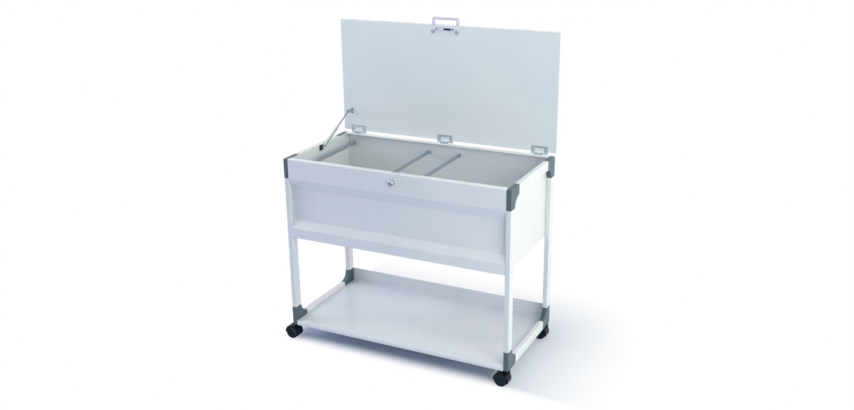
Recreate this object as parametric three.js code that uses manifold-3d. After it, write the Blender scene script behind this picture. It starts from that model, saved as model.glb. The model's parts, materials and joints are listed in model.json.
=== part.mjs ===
// Mobile file cart: two end frames of flat tube on twin-wheel castors carry a lidded file box and a shelf.
// Millimetres. +X is the cart's right, -Y its front and +Z up. The lid stands open at its stop.
// While it is built, x is 0 at mid-width, y is 0 at the front of the legs and z is 0 at the floor.
import * as THREE from 'three';
import { mergeVertices } from 'three/addons/utils/BufferGeometryUtils.js';
import Module from 'manifold-3d';

const wasm = await Module();
wasm.setup();

// Whole cart
const cartDepth = 431; // over the legs
const rimHeight = 725; // floor to the rim of the file box
const fitGap = 0.3; // between pieces that seat on or in each other
const plateCorner = 3; // on small plates seen face on
const spare = 1; // how far a cut runs past a face, and fused forms run into each other

// End frames
const tubeThickness = 18; // legs and rails, across the cart
const tubeFace = 35; // legs and rails, seen from the side
const tubeWall = 1.5;
const tubeCorner = 2.5;
const armLength = 73; // connector, from its outer corner to the end of an arm
const armSag = 10; // how far the hollow curve between the arms bows in
const connectorRound = 4; // outer corner of a connector
const spigotLength = 28;

// File box
const sheet = 1.5;
const boxBottom = 422; // floor to the underside of the box
const frontFlange = 22;
const rearFlange = 26;
const bottomFlange = 15;
const bandHeight = 75; // front panel, from the rim down
const upperSlant = 37;
const lowerSlant = 30;
const lipHeight = 39;
const recessDepth = 16;
const floorRise = 14; // underside of the box to the top of its floor

// File rails, in a pair for each row
const rowSpan = 330; // between the rails of one row, for A4 suspension files
const rowGap = 126; // between the inner rails
const railWallGap = 29.2; // outer rail to the side panel
const fileRailDrop = 34; // rim to the top of a rail
const fileRailHeight = 15;
const fileRailThickness = 3;
const footWidth = 16;
const footThickness = 2;

// Shelf
const shelfEdge = 20;
const shelfUpstand = 53;
const shelfFlange = 16;

// Lid
const lidThickness = 18;
const lidCorner = 3;
const lidGap = 2; // rim to the underside of the closed lid
const lidFrontOverhang = 2; // past the front panel
const lidRearOverhang = 2; // past the rear panel
const lidSideOverhang = 2; // past the ends of the cart
const openAngle = 90;
const handleWidth = 107;
const handleReach = 28;
const handleBar = 8.5;
const handleThickness = 11;
const handleRound = 6;
const handleInnerRound = 2.5;
const bufferGap = 1; // strike plate's end to a buffer
const bufferSetBack = 24; // lid's front edge to a buffer's centre
const bufferRadius = 8;

// Hinges
const hingeSetIn = 63; // end of the cart to the centre of an outer hinge
const hingeWidth = 63;
const leafDepth = 21.5;
const nestGap = 0.2; // leaf to the face that it closes on
const windowWidth = 36;
const windowDepth = 15;
const windowDip = 2.5;
const tabGap = 1; // rim leaf's tab to the sides of the window
const tabDepth = 7;
const tabPoint = 2.5;
const knuckleRadius = 3.5;
const pinRadius = 1.7;
const pinHead = 1.2;
const axisBehindLid = 5.6;
const axisRise = 3; // rim to the hinge axis

// Lock
const lockDrop = 33; // rim to the lock's axis
const lockHeadRadius = 11;
const lockHeadLength = 9;
const lockHeadChamfer = 1.5;
const barrelRadius = 9;
const plugRadius = 6;
const plugProud = 1;
const keySlotWidth = 1.6;
const keySlotHeight = 7;
const keySlotDepth = 5;
const tailRadius = 3.5;
const tailHeadRadius = 5.5;
const tailHeadLength = 2.2;
const camSetBack = 10.5; // front of the legs to the cam
const camThickness = 3;
const camWidth = 8;
const camHub = 8;
const camBite = 7; // how far the cam reaches into the lid
const pocketClearance = 5;
const slotClearance = 0.7;
const slotWidth = 7;
const strikeLength = 78;
const strikeWidth = 14;

// Gas strut
const barrelGap = 0.9; // wall bracket's plate to the strut's cylinder
const wallPivotDepth = 221; // front of the legs to the lower pivot
const wallPivotDrop = 13; // rim to the lower pivot
const lidPivotReach = 84; // hinge axis to the upper pivot, along the lid
const lidPivotDrop = 19; // underside of the lid to the upper pivot
const strutRadius = 5.5;
const strutWall = 1;
const strutBase = 7;
const strutGuide = 6;
const strutNeckRadius = 2.5;
const rodRadius = 2.5;
const pistonLength = 7;
const pistonPlay = 1.5;
const eyeRadius = 5;
const eyeThickness = 6;
const neckLength = 12; // eye centre to the cylinder's base
const studRadius = 2.5;
const studHeadRadius = 4;
const studHeadLength = 1.8;
const wallPlateThickness = 2.5;
const wallPlateWidth = 20;
const wallPlateHeight = 22;
const bracketThickness = 2;
const bracketFoot = 9;
const bracketLength = 24;
const bracketCheek = 9; // half the cheek's width

// Castors
const wheelRadius = 25;
const wheelWidth = 16;
const wheelEdge = 2.5;
const wheelDish = 3;
const hubRadius = 9;
const rimWidth = 5; // tread to the dish in the wheel's face
const trail = 19;
const hoodClearance = 1.3;
const hoodWall = 2.5;
const hoodLip = 1.5;
const hoodLipReach = 3; // how far a lip covers the wheel's face
const hoodWeb = 5;
const sideGap = 0.4; // wheel to the web and to the lip
const neckRadius = 11;
const neckHeight = 9.2;
const stemRadius = 5;
const stemLength = 32;
const socketSpare = 2; // socket beyond the stem's end
const axleRadius = 4;
const axleBoss = 9;
const hoodFrontAngle = -20; // where the hood ends, from level
const hoodRearAngle = 180;

// Steps on round forms
const cornerSteps = 3;
const curveSteps = 8;
const hoodSteps = 14;
const roundSides = 20;
const smallSides = 12;
const wheelSides = 24;

// Places that follow from the sizes
const endWidth = tubeThickness + fitGap + sheet + railWallGap;
const cartWidth = 2 * (endWidth + rowSpan) + rowGap;
const halfWidth = cartWidth / 2;
const innerHalf = halfWidth - tubeThickness;
const panelHalf = innerHalf - fitGap;
const legX = halfWidth - tubeThickness / 2;
const frameBottom = 2 * wheelRadius + hoodClearance + hoodWall + neckHeight;
const boxFloorTop = boxBottom + floorRise;
const sideInner = panelHalf - sheet;
const sheetBack = cartDepth - sheet - fitGap;
const lidUnder = rimHeight + lidGap;
const lidRear = cartDepth + lidRearOverhang;
const lidFront = -lidFrontOverhang;
const lidDepth = lidRear - lidFront;
const lidWidth = cartWidth + 2 * lidSideOverhang;
const lidSeat = lidUnder - fitGap;
const hingeY = lidRear + axisBehindLid;
const hingeZ = rimHeight + axisRise;
const leafThickness = lidGap - fitGap - nestGap;
const lockZ = rimHeight - lockDrop;
const camReach = lockDrop + lidGap + camBite;
const camMiddle = camSetBack + camThickness / 2;

// Finishes
const whiteCoat = finish(0xe6e9ee, 0.45, 0.1);
const greyBoard = finish(0xdfe3e8, 0.5, 0);
const blueGreyPlastic = finish(0x5b6975, 0.5, 0);
const silver = finish(0xb4bac2, 0.35, 0.8);
const chrome = finish(0xd8dade, 0.12, 1);
const zinc = finish(0xa9afb6, 0.4, 0.8);
const darkMetal = finish(0x3d444b, 0.5, 0.4);
const blackPlastic = finish(0x1d2126, 0.4, 0);
const wheelPlastic = finish(0x2a3038, 0.5, 0);
const greyRubber = finish(0xb9bfca, 0.7, 0);

function finish(color, roughness, metalness) {
  return new THREE.MeshStandardMaterial({ color, roughness, metalness, flatShading: true });
}

// Outlines

function arc(cx, cy, radius, from, to, steps) {
  return Array.from({ length: steps + 1 }, (_, i) => {
    const angle = from + ((to - from) * i) / steps;
    return [cx + radius * Math.cos(angle), cy + radius * Math.sin(angle)];
  });
}

function circle(cx, cy, radius, sides) {
  return arc(cx, cy, radius, 0, 2 * Math.PI, sides).slice(0, -1);
}

function roundedRectangle(cx, cy, width, height, radius) {
  const x = width / 2 - radius;
  const y = height / 2 - radius;
  const corners = [[x, y], [-x, y], [-x, -y], [x, -y]];
  return corners.flatMap(([dx, dy], i) => {
    const start = (i * Math.PI) / 2;
    return arc(cx + dx, cy + dy, radius, start, start + Math.PI / 2, cornerSteps);
  });
}

// A bent sheet seen end on: the path is one face, and the sheet lies on the path's right.
function foldedSheet(path, thickness) {
  const normals = path.slice(1).map(([x, y], i) => {
    const dx = x - path[i][0];
    const dy = y - path[i][1];
    const length = Math.hypot(dx, dy);
    return [dy / length, -dx / length];
  });
  const other = path.map(([x, y], i) => {
    const before = normals[Math.max(i - 1, 0)];
    const after = normals[Math.min(i, normals.length - 1)];
    const reach = thickness / (1 + before[0] * after[0] + before[1] * after[1]);
    return [x + reach * (before[0] + after[0]), y + reach * (before[1] + after[1])];
  });
  return [...path, ...other.reverse()];
}

// Solids

const xHat = new THREE.Vector3(1, 0, 0);
const yHat = new THREE.Vector3(0, 1, 0);
const zHat = new THREE.Vector3(0, 0, 1);
const outlineAxes = {
  x: [yHat, zHat, xHat],
  y: [xHat, zHat, yHat.clone().negate()],
  z: [xHat, yHat, zHat],
};

// An outline carried along an axis. The outline's own axes are the other two, in x, y, z order.
function prism(axis, outline, from, to, hole) {
  const shape = new THREE.Shape(outline.map(([u, v]) => new THREE.Vector2(u, v)));
  if (hole) shape.holes.push(new THREE.Path(hole.map(([u, v]) => new THREE.Vector2(u, v))));
  const geometry = new THREE.ExtrudeGeometry(shape, { depth: to - from, bevelEnabled: false });
  geometry.applyMatrix4(new THREE.Matrix4().makeBasis(...outlineAxes[axis]));
  const start = { x: [from, 0, 0], y: [0, to, 0], z: [0, 0, from] };
  geometry.translate(...start[axis]);
  return solid(geometry);
}

function block(x0, x1, y0, y1, z0, z1) {
  const geometry = new THREE.BoxGeometry(x1 - x0, y1 - y0, z1 - z0);
  geometry.translate((x0 + x1) / 2, (y0 + y1) / 2, (z0 + z1) / 2);
  return solid(geometry);
}

// A profile of [radius, y] points, listed anticlockwise, turned about the Y axis.
function turned(profile, sides) {
  const points = profile.map(([r, y]) => new THREE.Vector2(r, y));
  return solid(new THREE.LatheGeometry(points, sides, Math.PI / sides));
}

function solid(geometry) {
  const bare = new THREE.BufferGeometry();
  bare.setAttribute('position', geometry.getAttribute('position'));
  bare.setIndex(geometry.getIndex());
  const merged = mergeVertices(bare);
  const mesh = new wasm.Mesh({
    numProp: 3,
    vertProperties: new Float32Array(merged.getAttribute('position').array),
    triVerts: new Uint32Array(merged.getIndex().array),
  });
  mesh.merge();
  return new wasm.Manifold(mesh);
}

function addPiece(parent, name, body, material) {
  const mesh = body.getMesh();
  const geometry = new THREE.BufferGeometry();
  geometry.setAttribute('position', new THREE.BufferAttribute(new Float32Array(mesh.vertProperties), 3));
  geometry.setIndex(new THREE.BufferAttribute(new Uint32Array(mesh.triVerts), 1));
  geometry.computeVertexNormals();
  const piece = new THREE.Mesh(geometry, material);
  piece.name = name;
  parent.add(piece);
}

const ends = [
  { side: 'left', sign: -1 },
  { side: 'right', sign: 1 },
];
const rows = [
  { row: 'front', depthAt: (u) => u },
  { row: 'rear', depthAt: (u) => cartDepth - u },
];
const levels = [
  { level: 'upper', heightAt: (v) => rimHeight - v },
  { level: 'lower', heightAt: (v) => frameBottom + v },
];

function span(a, b) {
  return [Math.min(a, b), Math.max(a, b)];
}

// End frames

function tubeOutline(cx, cy, inset) {
  const radius = Math.max(tubeCorner - inset, fitGap);
  return roundedRectangle(cx, cy, tubeThickness - 2 * inset, tubeFace - 2 * inset, radius);
}

function leg(x, y) {
  const bottom = frameBottom + armLength + fitGap;
  const top = rimHeight - armLength - fitGap;
  const outer = tubeOutline(x, y, 0);
  const inner = tubeOutline(x, y, tubeWall);
  return prism('z', outer, bottom, top, inner);
}

function sideRail(x, z) {
  const start = armLength + fitGap;
  const outer = tubeOutline(x, z, 0);
  const inner = tubeOutline(x, z, tubeWall);
  return prism('y', outer, start, cartDepth - start, inner);
}

// Outline of a connector, measured inwards from its outer corner along the depth and the height.
function connectorOutline() {
  const chord = (armLength - tubeFace) * Math.SQRT2;
  const radius = (chord * chord / 4 + armSag * armSag) / (2 * armSag);
  const centre = (armLength + tubeFace) / 2 + (radius - armSag) / Math.SQRT2;
  const start = Math.atan2(tubeFace - centre, armLength - centre);
  const end = Math.atan2(armLength - centre, tubeFace - centre);
  return [
    [0, armLength],
    ...arc(connectorRound, connectorRound, connectorRound, Math.PI, 1.5 * Math.PI, cornerSteps),
    [armLength, 0],
    ...arc(centre, centre, radius, start, end, curveSteps),
  ];
}

function connector(sign, depthAt, heightAt, hasSocket) {
  const x = sign * legX;
  const inset = tubeWall + fitGap;
  const spigotEnd = armLength + spigotLength;
  const middle = tubeFace / 2;
  const outline = connectorOutline().map(([u, v]) => [depthAt(u), heightAt(v)]);
  const legSpigot = tubeOutline(x, depthAt(middle), inset);
  const railSpigot = tubeOutline(x, heightAt(middle), inset);
  const body = prism('x', outline, x - tubeThickness / 2, x + tubeThickness / 2)
    .add(prism('z', legSpigot, ...span(heightAt(middle), heightAt(spigotEnd))))
    .add(prism('y', railSpigot, ...span(depthAt(middle), depthAt(spigotEnd))));
  if (!hasSocket) return body;
  const socket = circle(x, depthAt(middle), stemRadius + fitGap, roundSides);
  const socketEnd = frameBottom + stemLength + socketSpare;
  return body.subtract(prism('z', socket, frameBottom - spare, socketEnd));
}

function addEndFrames(parent) {
  for (const { side, sign } of ends) {
    for (const { row, depthAt } of rows) {
      addPiece(parent, `leg_${row}_${side}`, leg(sign * legX, depthAt(tubeFace / 2)), whiteCoat);
      for (const { level, heightAt } of levels) {
        const body = connector(sign, depthAt, heightAt, level === 'lower');
        addPiece(parent, `connector_${level}_${row}_${side}`, body, blueGreyPlastic);
      }
    }
    for (const { level, heightAt } of levels) {
      addPiece(parent, `rail_${level}_${side}`, sideRail(sign * legX, heightAt(tubeFace / 2)), whiteCoat);
    }
  }
}

// File box

function frontPanel() {
  const recessTop = rimHeight - bandHeight - upperSlant;
  const recessBottom = boxBottom + lipHeight + lowerSlant;
  const path = [
    [bottomFlange, boxBottom],
    [0, boxBottom],
    [0, boxBottom + lipHeight],
    [recessDepth, recessBottom],
    [recessDepth, recessTop],
    [0, rimHeight - bandHeight],
    [0, rimHeight],
    [frontFlange, rimHeight],
  ];
  const lockHole = circle(0, lockZ, barrelRadius + fitGap, roundSides);
  const slot = camSlot(rimHeight - sheet);
  return prism('x', foldedSheet(path, sheet), -panelHalf, panelHalf)
    .subtract(prism('y', lockHole, -spare, sheet + spare))
    .subtract(prism('z', slot, rimHeight - sheet - spare, rimHeight + spare));
}

// The slot, seen from above, that the turning cam needs in a plate whose underside is at a height
function camSlot(height) {
  const rise = height - lockZ;
  const start = -camWidth / 2 - slotClearance;
  const end = Math.sqrt(camReach * camReach - rise * rise) + slotClearance;
  const front = camMiddle - slotWidth / 2;
  const back = camMiddle + slotWidth / 2;
  return [[start, front], [end, front], [end, back], [start, back]];
}

function rearPanel() {
  const path = [
    [cartDepth - rearFlange, rimHeight],
    [cartDepth, rimHeight],
    [cartDepth, boxBottom],
    [cartDepth - bottomFlange, boxBottom],
  ];
  return prism('x', foldedSheet(path, sheet), -panelHalf, panelHalf);
}

function sidePanel(sign) {
  const front = recessDepth + sheet + fitGap;
  const bottom = boxBottom + sheet + fitGap;
  const top = rimHeight - sheet - fitGap;
  return block(...span(sign * sideInner, sign * panelHalf), front, sheetBack, bottom, top);
}

function boxFloor() {
  const half = sideInner - fitGap;
  const bottom = boxBottom + sheet + fitGap;
  const path = [[-half, bottom], [-half, boxFloorTop], [half, boxFloorTop], [half, bottom]];
  return prism('y', foldedSheet(path, sheet), sheet + fitGap, sheetBack);
}

function fileRail(x) {
  const front = sheet + fitGap;
  const top = rimHeight - fileRailDrop;
  const halfFoot = footWidth / 2;
  const halfBar = fileRailThickness / 2;
  const barStart = front + footThickness;
  const barEnd = sheetBack - footThickness;
  const outline = [
    [x - halfFoot, front],
    [x + halfFoot, front],
    [x + halfFoot, barStart],
    [x + halfBar, barStart],
    [x + halfBar, barEnd],
    [x + halfFoot, barEnd],
    [x + halfFoot, sheetBack],
    [x - halfFoot, sheetBack],
    [x - halfFoot, barEnd],
    [x - halfBar, barEnd],
    [x - halfBar, barStart],
    [x - halfFoot, barStart],
  ];
  return prism('z', outline, top - fileRailHeight, top);
}

function addFileBox(parent) {
  addPiece(parent, 'front_panel', frontPanel(), whiteCoat);
  addPiece(parent, 'rear_panel', rearPanel(), whiteCoat);
  addPiece(parent, 'box_floor', boxFloor(), whiteCoat);
  for (const { side, sign } of ends) {
    const inner = rowGap / 2;
    addPiece(parent, `side_panel_${side}`, sidePanel(sign), whiteCoat);
    addPiece(parent, `file_rail_${side}_inner`, fileRail(sign * inner), zinc);
    addPiece(parent, `file_rail_${side}_outer`, fileRail(sign * (inner + rowSpan)), zinc);
  }
}

// Shelf

function shelf() {
  const top = frameBottom + shelfEdge;
  const back = cartDepth - sheet;
  const path = [[0, frameBottom], [0, top], [back, top], [back, top + shelfUpstand]];
  const plate = prism('x', foldedSheet(path, sheet), -panelHalf, panelHalf);
  return ends.reduce((body, { sign }) => {
    const [x0, x1] = span(sign * panelHalf, sign * (panelHalf - sheet));
    return body.add(block(x0, x1, sheet / 2, back, top - shelfFlange, top - sheet / 2));
  }, plate);
}

// Lid, drawn closed

function lidBoard() {
  const outline = roundedRectangle(0, lidFront + lidDepth / 2, lidWidth, lidDepth, lidCorner);
  const pocketTop = lidUnder + camBite + pocketClearance;
  return prism('z', outline, lidUnder, lidUnder + lidThickness)
    .subtract(prism('z', camSlot(lidSeat - leafThickness), lidUnder - spare, pocketTop));
}

function lidHandle() {
  const half = handleWidth / 2;
  const openHalf = half - handleBar;
  const root = lidFront - fitGap;
  const tip = lidFront - handleReach;
  const bend = half - handleRound;
  const openBend = openHalf - handleInnerRound;
  const bendY = tip + handleRound;
  const openBendY = tip + handleBar + handleInnerRound;
  const outline = [
    [-half, root],
    ...arc(-bend, bendY, handleRound, Math.PI, 1.5 * Math.PI, cornerSteps),
    ...arc(bend, bendY, handleRound, 1.5 * Math.PI, 2 * Math.PI, cornerSteps),
    [half, root],
    [openHalf, root],
    ...arc(openBend, openBendY, handleInnerRound, 0, -0.5 * Math.PI, cornerSteps),
    ...arc(-openBend, openBendY, handleInnerRound, 1.5 * Math.PI, Math.PI, cornerSteps),
    [-openHalf, root],
  ];
  const bottom = lidUnder + (lidThickness - handleThickness) / 2;
  return prism('z', outline, bottom, bottom + handleThickness);
}

function strikePlate() {
  const bottom = lidSeat - leafThickness;
  const outline = roundedRectangle(0, camMiddle, strikeLength, strikeWidth, plateCorner);
  return prism('z', outline, bottom, lidSeat, camSlot(bottom));
}

function lidBuffer(x) {
  const outline = circle(x, lidFront + bufferSetBack, bufferRadius, roundSides);
  return prism('z', outline, rimHeight + fitGap, lidSeat);
}

function addLid(parent) {
  addPiece(parent, 'lid_board', lidBoard(), greyBoard);
  addPiece(parent, 'lid_handle', lidHandle(), silver);
  addPiece(parent, 'strike_plate', strikePlate(), silver);
  for (const { side, sign } of ends) {
    const x = strikeLength / 2 + bufferGap + bufferRadius;
    addPiece(parent, `lid_buffer_${side}`, lidBuffer(sign * x), greyRubber);
  }
}

// Hinges, drawn closed: the rim leaf's tab lies in the window of the lid leaf

function knuckle(x0, x1) {
  return prism('x', circle(hingeY, hingeZ, knuckleRadius, roundSides), x0, x1);
}

function pinBore(x) {
  const bore = circle(hingeY, hingeZ, pinRadius + fitGap, smallSides);
  return prism('x', bore, x - hingeWidth, x + hingeWidth);
}

function lidLeaf(x) {
  const half = hingeWidth / 2;
  const window = windowWidth / 2;
  const front = lidRear - leafDepth;
  const windowFront = lidRear - windowDepth;
  const outline = [
    [x - half, front],
    [x + half, front],
    [x + half, hingeY],
    [x + window, hingeY],
    [x + window, windowFront],
    [x + window / 2, windowFront],
    [x, windowFront + windowDip],
    [x - window / 2, windowFront],
    [x - window, windowFront],
    [x - window, hingeY],
    [x - half, hingeY],
  ];
  return prism('z', outline, lidSeat - leafThickness, lidSeat)
    .add(knuckle(x - half, x - window))
    .add(knuckle(x + window, x + half))
    .subtract(pinBore(x));
}

function rimLeaf(x) {
  const half = windowWidth / 2 - tabGap;
  const knuckleHalf = windowWidth / 2 - fitGap;
  const front = cartDepth - tabDepth;
  const outline = [
    [x - half, front],
    [x - half / 2, front],
    [x, front - tabPoint],
    [x + half / 2, front],
    [x + half, front],
    [x + half, hingeY],
    [x - half, hingeY],
  ];
  const bottom = rimHeight + fitGap;
  return prism('z', outline, bottom, bottom + leafThickness)
    .add(knuckle(x - knuckleHalf, x + knuckleHalf))
    .subtract(pinBore(x));
}

function hingePin(x) {
  const half = hingeWidth / 2 + fitGap;
  const head = circle(hingeY, hingeZ, knuckleRadius - fitGap, smallSides);
  return prism('x', circle(hingeY, hingeZ, pinRadius, smallSides), x - half, x + half)
    .add(prism('x', head, x - half - pinHead, x - half))
    .add(prism('x', head, x + half, x + half + pinHead));
}

function addHinges(fixedParent, lidParent) {
  const reach = halfWidth - hingeSetIn;
  const places = { left: -reach, middle: 0, right: reach };
  for (const [place, x] of Object.entries(places)) {
    addPiece(lidParent, `hinge_${place}_lid_leaf`, lidLeaf(x), zinc);
    addPiece(fixedParent, `hinge_${place}_rim_leaf`, rimLeaf(x), zinc);
    addPiece(fixedParent, `hinge_${place}_pin`, hingePin(x), zinc);
  }
}

// Lock, with its axis along y

function lockBarrel() {
  const bore = plugRadius + fitGap;
  const front = -lockHeadLength - fitGap;
  const back = camSetBack - 2 * fitGap;
  const profile = [
    [bore, front],
    [lockHeadRadius - lockHeadChamfer, front],
    [lockHeadRadius, front + lockHeadChamfer],
    [lockHeadRadius, -fitGap],
    [barrelRadius, -fitGap],
    [barrelRadius, back],
    [bore, back],
    [bore, front],
  ];
  return turned(profile, roundSides).translate([0, 0, lockZ]);
}

function lockPlug() {
  const front = -lockHeadLength - fitGap - plugProud;
  const shoulder = camSetBack - fitGap;
  const camBack = camSetBack + camThickness + fitGap;
  const profile = [
    [0, front],
    [plugRadius - plugProud / 2, front],
    [plugRadius, front + plugProud / 2],
    [plugRadius, shoulder],
    [tailRadius, shoulder],
    [tailRadius, camBack],
    [tailHeadRadius, camBack],
    [tailHeadRadius, camBack + tailHeadLength],
    [0, camBack + tailHeadLength],
  ];
  const slotHalf = keySlotWidth / 2;
  const slotRise = keySlotHeight / 2;
  return turned(profile, roundSides)
    .subtract(block(-slotHalf, slotHalf, front - spare, front + keySlotDepth, -slotRise, slotRise))
    .translate([0, 0, lockZ]);
}

// The cam points to the right at rest, and its whole outline lies within its reach.
function lockCam() {
  const half = camWidth / 2;
  const meet = Math.asin(half / camHub);
  const outline = [
    ...arc(0, 0, camHub, meet, 2 * Math.PI - meet, roundSides),
    ...arc(camReach - half, 0, half, -Math.PI / 2, Math.PI / 2, curveSteps),
  ];
  const hole = circle(0, 0, tailRadius + fitGap, smallSides);
  return prism('y', outline, camSetBack, camSetBack + camThickness, hole).translate([0, 0, lockZ]);
}

function addLock(parent) {
  addPiece(parent, 'lock_barrel', lockBarrel(), chrome);
  addPiece(parent, 'lock_plug', lockPlug(), chrome);
  addPiece(parent, 'lock_cam', lockCam(), zinc);
}

// Gas strut: the cylinder hangs on a stud on the left wall, and its rod ends at a bracket on the lid

const wallPlateBack = fitGap - sideInner;
const wallPlateFace = wallPlateBack + wallPlateThickness;
const strutX = wallPlateFace + barrelGap + strutRadius;
const wallPivot = [wallPivotDepth, rimHeight - wallPivotDrop];
const lidPivotClosed = [hingeY - lidPivotReach, lidUnder - lidPivotDrop];
const lidPivotOpen = turnedAboutHinge(lidPivotClosed, openAngle);
const strutLength = Math.hypot(lidPivotOpen[0] - wallPivot[0], lidPivotOpen[1] - wallPivot[1]);
const strutClosed = Math.hypot(lidPivotClosed[0] - wallPivot[0], lidPivotClosed[1] - wallPivot[1]);
const strutSlope = Math.atan2(lidPivotOpen[1] - wallPivot[1], lidPivotOpen[0] - wallPivot[0]);
const cavityStart = neckLength + strutBase;
const pistonEnd = cavityStart + pistonPlay + strutLength - strutClosed;
const cavityEnd = pistonEnd + pistonLength + pistonPlay;

function turnedAboutHinge([y, z], degrees) {
  const angle = THREE.MathUtils.degToRad(-degrees);
  const dy = y - hingeY;
  const dz = z - hingeZ;
  const cos = Math.cos(angle);
  const sin = Math.sin(angle);
  return [hingeY + dy * cos - dz * sin, hingeZ + dy * sin + dz * cos];
}

function ring(y, radius, bore) {
  const half = eyeThickness / 2;
  return prism('x', circle(y, 0, radius, roundSides), -half, half, circle(y, 0, bore, smallSides));
}

// Drawn along y from the lower pivot, as is the rod
function strutCylinder() {
  const inside = strutRadius - strutWall;
  const mouth = cavityEnd + strutGuide;
  const profile = [
    [0, eyeRadius - spare],
    [strutNeckRadius, eyeRadius - spare],
    [strutNeckRadius, neckLength],
    [strutRadius, neckLength],
    [strutRadius, mouth],
    [rodRadius + fitGap, mouth],
    [rodRadius + fitGap, cavityEnd],
    [inside, cavityEnd],
    [inside, cavityStart],
    [0, cavityStart],
  ];
  return turned(profile, roundSides).add(ring(0, eyeRadius, studRadius + fitGap));
}

function strutRod() {
  const pistonRadius = strutRadius - strutWall - fitGap;
  const profile = [
    [0, pistonEnd],
    [pistonRadius, pistonEnd],
    [pistonRadius, pistonEnd + pistonLength],
    [rodRadius, pistonEnd + pistonLength],
    [rodRadius, strutLength - eyeRadius + spare],
    [0, strutLength - eyeRadius + spare],
  ];
  return turned(profile, smallSides).add(ring(strutLength, eyeRadius, studRadius));
}

function wallBracket() {
  const [y, z] = wallPivot;
  const eyeEnd = strutX + eyeThickness / 2 + fitGap;
  const outline = roundedRectangle(y, z, wallPlateWidth, wallPlateHeight, plateCorner);
  return prism('x', outline, wallPlateBack, wallPlateFace)
    .add(prism('x', circle(y, z, studRadius, smallSides), wallPlateFace - spare, eyeEnd))
    .add(prism('x', circle(y, z, studHeadRadius, smallSides), eyeEnd, eyeEnd + studHeadLength));
}

// Drawn closed: the cheek stands beside the rod's eye, and the foot is on the lid
function lidBracket() {
  const [y, z] = lidPivotClosed;
  const cheek = strutX + eyeThickness / 2 + fitGap;
  const end = cheek + bracketFoot;
  const outline = [
    [y - bracketCheek, lidSeat],
    ...arc(y, z, eyeRadius, Math.PI, 2 * Math.PI, curveSteps),
    [y + bracketCheek, lidSeat],
  ];
  const halfLength = bracketLength / 2;
  return prism('x', outline, cheek, cheek + bracketThickness)
    .add(block(cheek, end, y - halfLength, y + halfLength, lidSeat - bracketThickness, lidSeat));
}

function addStrut(fixedParent, lidParent) {
  addPiece(fixedParent, 'strut_wall_bracket', wallBracket(), darkMetal);
  addPiece(lidParent, 'strut_lid_bracket', lidBracket(), zinc);
  const strut = new THREE.Group();
  strut.position.set(strutX, ...wallPivot);
  strut.rotation.x = strutSlope;
  addPiece(strut, 'strut_cylinder', strutCylinder(), silver);
  addPiece(strut, 'strut_rod', strutRod(), silver);
  fixedParent.add(strut);
}

// Castors, drawn about the swivel axis: the wheels trail to the left at rest

const wheelStart = hoodWeb / 2 + sideGap;
const wheelEnd = wheelStart + wheelWidth;
const cavityRadius = wheelRadius + hoodClearance;
const hoodRadius = cavityRadius + hoodWall;

function hoodSector(inner, y0, y1) {
  const start = THREE.MathUtils.degToRad(hoodFrontAngle);
  const end = THREE.MathUtils.degToRad(hoodRearAngle);
  const outline = [
    ...arc(-trail, wheelRadius, hoodRadius, start, end, hoodSteps),
    ...arc(-trail, wheelRadius, inner, end, start, hoodSteps),
  ];
  return prism('y', outline, y0, y1);
}

function castorHood() {
  const edge = wheelEnd + sideGap;
  const lipInner = wheelRadius - hoodLipReach;
  const neckTop = frameBottom - fitGap;
  const cavity = circle(-trail, wheelRadius, cavityRadius, wheelSides);
  const web = hoodSector(axleRadius, -hoodWeb / 2, hoodWeb / 2)
    .add(prism('y', circle(-trail, wheelRadius, axleBoss, smallSides), -hoodWeb / 2, hoodWeb / 2));
  return hoodSector(cavityRadius - spare, -edge, edge)
    .add(prism('z', circle(0, 0, neckRadius, roundSides), wheelRadius, neckTop))
    .subtract(prism('y', cavity, -edge, edge))
    .add(hoodSector(lipInner, edge, edge + hoodLip))
    .add(hoodSector(lipInner, -edge - hoodLip, -edge))
    .add(web)
    .add(prism('y', circle(-trail, wheelRadius, axleRadius, smallSides), -wheelEnd, wheelEnd))
    .add(prism('z', circle(0, 0, stemRadius, roundSides), neckTop - spare, frameBottom + stemLength));
}

// A wheel's flats touch the floor at the stated radius.
function castorWheel(sign) {
  const tread = wheelRadius / Math.cos(Math.PI / wheelSides);
  const bore = axleRadius + fitGap;
  const dishRadius = wheelRadius - rimWidth;
  const profile = [
    [bore, wheelStart],
    [tread - wheelEdge, wheelStart],
    [tread, wheelStart + wheelEdge],
    [tread, wheelEnd - wheelEdge],
    [tread - wheelEdge, wheelEnd],
    [dishRadius, wheelEnd],
    [dishRadius - wheelDish, wheelEnd - wheelDish],
    [hubRadius + wheelDish, wheelEnd - wheelDish],
    [hubRadius, wheelEnd],
    [bore, wheelEnd],
    [bore, wheelStart],
  ];
  const mirrored = profile.map(([r, y]) => [r, -y]).reverse();
  return turned(sign > 0 ? profile : mirrored, wheelSides).translate([-trail, 0, wheelRadius]);
}

function addCastors(parent) {
  for (const { side, sign } of ends) {
    for (const { row, depthAt } of rows) {
      const castor = new THREE.Group();
      castor.position.set(sign * legX, depthAt(tubeFace / 2), 0);
      addPiece(castor, `castor_${row}_${side}_hood`, castorHood(), blackPlastic);
      addPiece(castor, `castor_${row}_${side}_wheel_near`, castorWheel(-1), wheelPlastic);
      addPiece(castor, `castor_${row}_${side}_wheel_far`, castorWheel(1), wheelPlastic);
      parent.add(castor);
    }
  }
}

// The whole cart, with its origin on the floor at the middle of its outline seen from above

const cart = new THREE.Group();
const lid = new THREE.Group();
const lidHinge = new THREE.Group();
lid.position.set(0, -hingeY, -hingeZ);
lidHinge.position.set(0, hingeY, hingeZ);
lidHinge.rotation.x = THREE.MathUtils.degToRad(-openAngle);
lidHinge.add(lid);
cart.add(lidHinge);

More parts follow.
